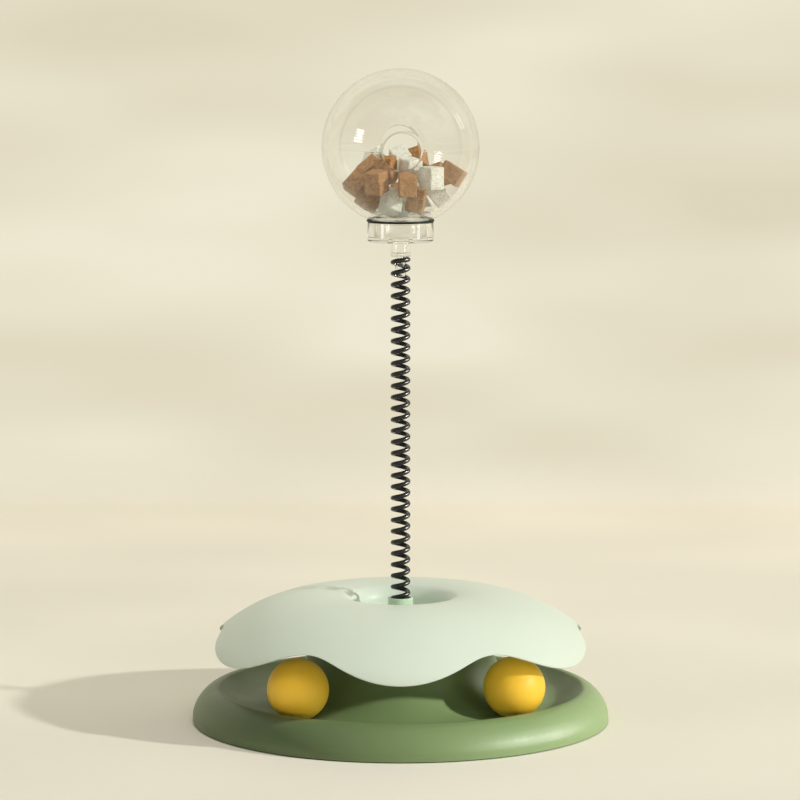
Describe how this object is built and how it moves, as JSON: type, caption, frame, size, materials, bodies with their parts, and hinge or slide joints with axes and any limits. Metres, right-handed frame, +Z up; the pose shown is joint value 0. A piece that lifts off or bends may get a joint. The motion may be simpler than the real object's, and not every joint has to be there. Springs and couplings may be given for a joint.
{
  "type": "cat track ball toy",
  "caption": "Ring track with rolling balls under a wavy cover, and a coil spring that carries a clear treat globe.",
  "frame": {"origin": "on the floor, under the centre of the round tray", "axes": "+Z up along the spring, -Y towards the front lobe of the cover, +X to the right"},
  "size_m": [0.25, 0.25, 0.3909],
  "materials": {
    "tray_plastic": "moss green, fine matte",
    "cover_plastic": "pale mint, satin",
    "socket_plastic": "pale mint, satin",
    "screw_steel": "zinc plated",
    "ball_plastic": "yellow, glossy",
    "spring_steel": "black coated wire",
    "holder_plastic": "clear",
    "ring_rubber": "dark",
    "globe_plastic": "clear, polished",
    "foot_rubber": "matte",
    "brown_treat": "dry, porous",
    "white_treat": "dry, porous"
  },
  "bodies": {
    "base": {"base_tray": "tray_plastic", "cover_shell": "cover_plastic", "cover_screws": "screw_steel", "spring_socket": "socket_plastic", "foot_pad_1": "foot_rubber", "foot_pad_2": "foot_rubber", "foot_pad_3": "foot_rubber", "foot_pad_4": "foot_rubber", "foot_pad_5": "foot_rubber", "foot_pad_6": "foot_rubber"},
    "ball_left": {"ball_left": "ball_plastic"},
    "ball_right": {"ball_right": "ball_plastic"},
    "spring": {"spring": "spring_steel"},
    "head": {"clear_holder": "holder_plastic", "seat_ring": "ring_rubber"},
    "globe": {"globe_lower": "globe_plastic", "globe_upper": "globe_plastic", "brown_treat_1": "brown_treat", "brown_treat_2": "brown_treat", "brown_treat_3": "brown_treat", "brown_treat_4": "brown_treat", "brown_treat_5": "brown_treat", "brown_treat_6": "brown_treat", "brown_treat_7": "brown_treat", "brown_treat_8": "brown_treat", "brown_treat_9": "brown_treat", "brown_treat_10": "brown_treat", "brown_treat_11": "brown_treat", "brown_treat_12": "brown_treat", "white_treat_1": "white_treat", "white_treat_2": "white_treat", "white_treat_3": "white_treat", "white_treat_4": "white_treat", "white_treat_5": "white_treat", "white_treat_6": "white_treat", "white_treat_7": "white_treat", "white_treat_8": "white_treat", "white_treat_9": "white_treat", "white_treat_10": "white_treat", "white_treat_11": "white_treat"}
  },
  "joints": [
    {"name": "ball_left_roll", "type": "hinge", "parent": "base", "child": "ball_left", "pos_m": [0, 0, 0.03095], "axis": [0, 0, 1], "continuous": true},
    {"name": "ball_right_roll", "type": "hinge", "parent": "ball_left", "child": "ball_right", "pos_m": [0, 0, 0.03095], "axis": [0, 0, 1], "range_deg": [-67.5, 244]},
    {"name": "spring_sway", "type": "hinge", "parent": "base", "child": "spring", "pos_m": [0, 0, 0.1226], "axis": [0, 1, 0], "range_deg": [-22.5, 22.5], "stiffness_Nm_per_rad": 1.28, "deforming": ["spring"]},
    {"name": "head_sway", "type": "hinge", "parent": "spring", "child": "head", "pos_m": [0, 0, 0.2193], "axis": [0, 1, 0], "range_deg": [-22.5, 22.5], "stiffness_Nm_per_rad": 1.28},
    {"name": "globe_twist", "type": "hinge", "parent": "head", "child": "globe", "pos_m": [0, 0, 0.2965], "axis": [0, 0, 1], "range_deg": [0, 60]}
  ],
  "couplings": [
    {"joint": "head_sway", "follows": "spring_sway", "ratio": 1}
  ]
}
